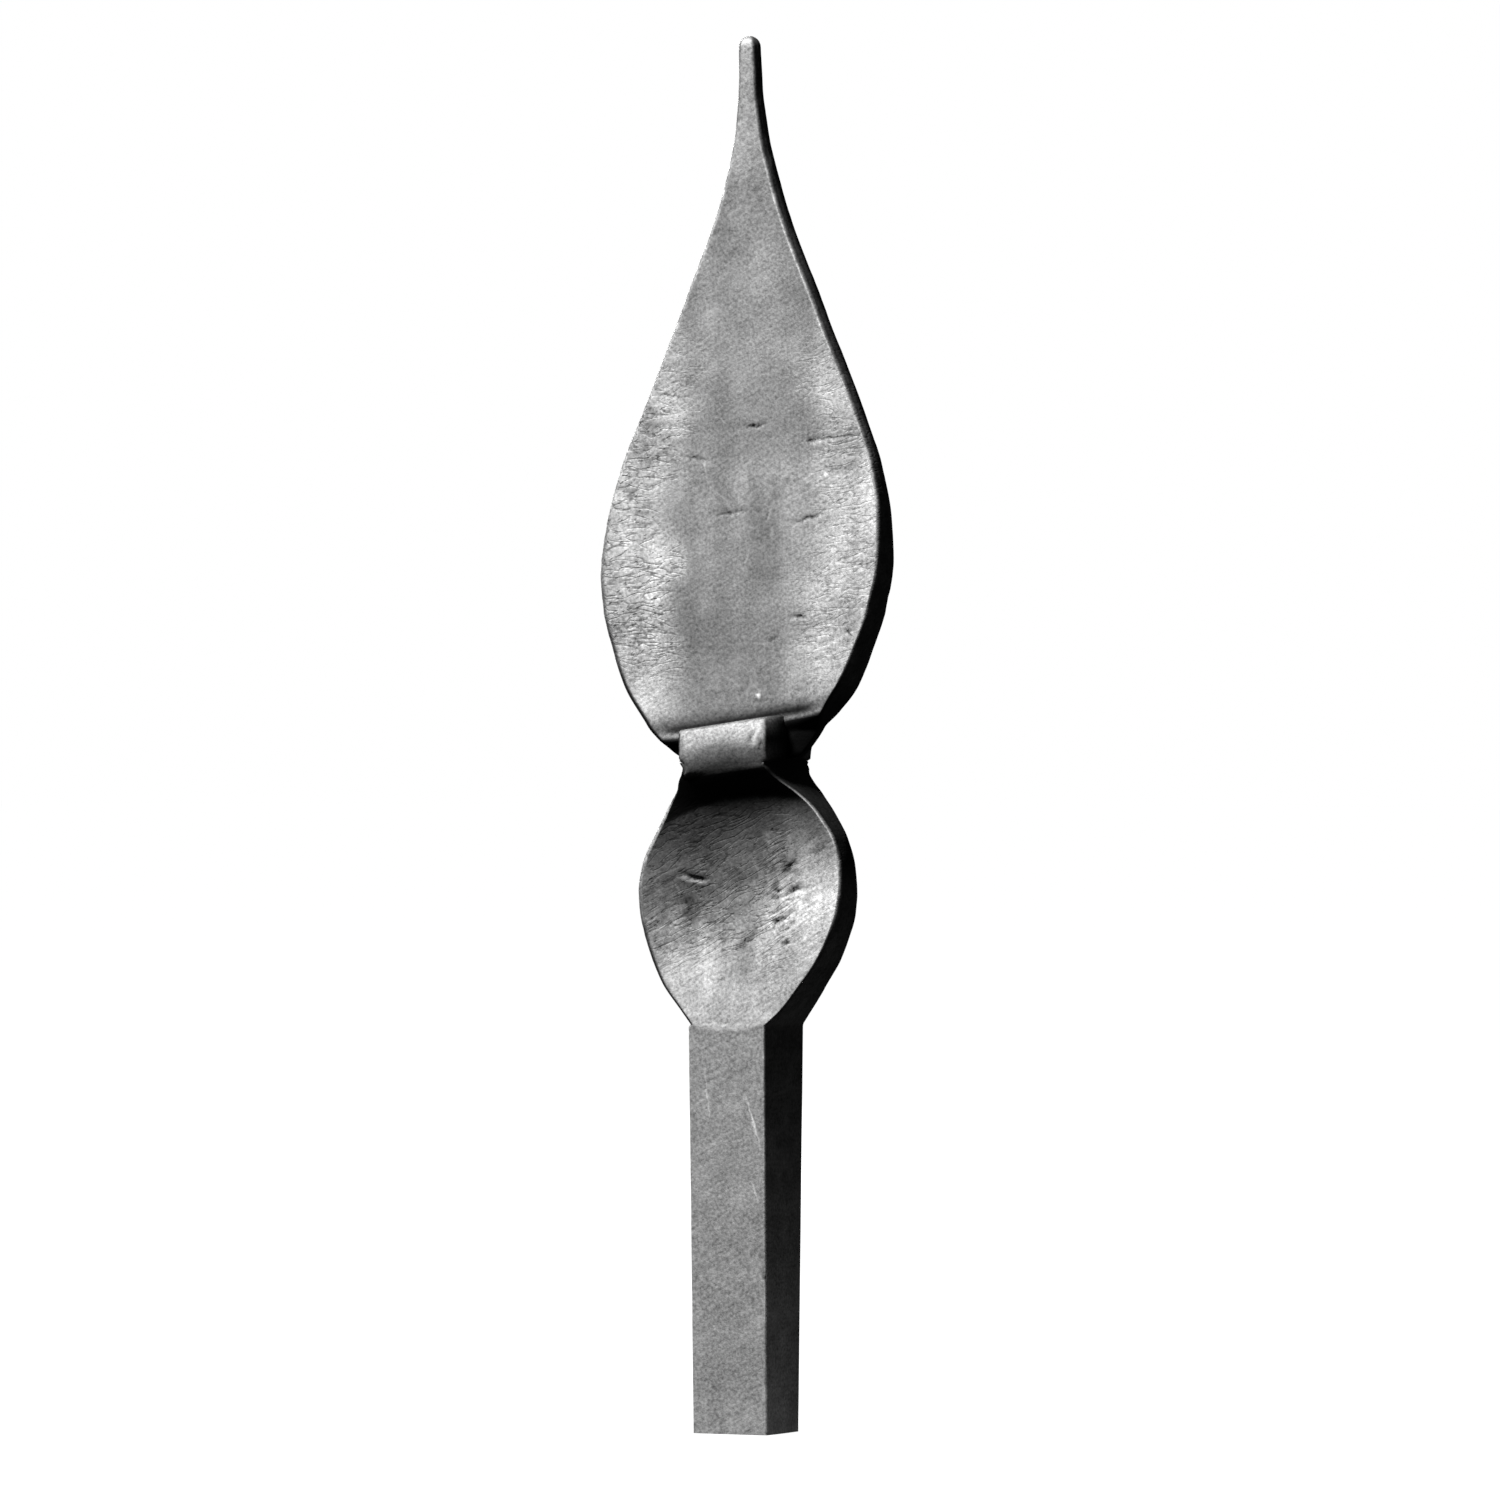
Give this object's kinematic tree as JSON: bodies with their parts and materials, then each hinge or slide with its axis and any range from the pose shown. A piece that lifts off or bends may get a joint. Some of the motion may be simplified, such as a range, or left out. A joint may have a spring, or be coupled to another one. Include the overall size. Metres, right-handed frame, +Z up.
{
  "type": "fence finial",
  "caption": "Hand-forged iron picket finial: square bar hammered into a dished ball, a square neck block and a flat leaf-shaped spear head drawn out to a slim tip",
  "frame": {"origin": "centre of the square cut end of the bar, where the finial is built into its fence", "axes": "+Z runs up the bar to the tip of the leaf, -Y is the front face, +X is to the right seen from the front"},
  "size_m": [0.0595, 0.0204, 0.2596],
  "materials": {
    "forged_iron": "bare forged iron, scale brushed off, dull grey sheen with hammer marks and fine scratches"
  },
  "bodies": {
    "root": {"forged_finial": "forged_iron"}
  },
  "joints": []
}
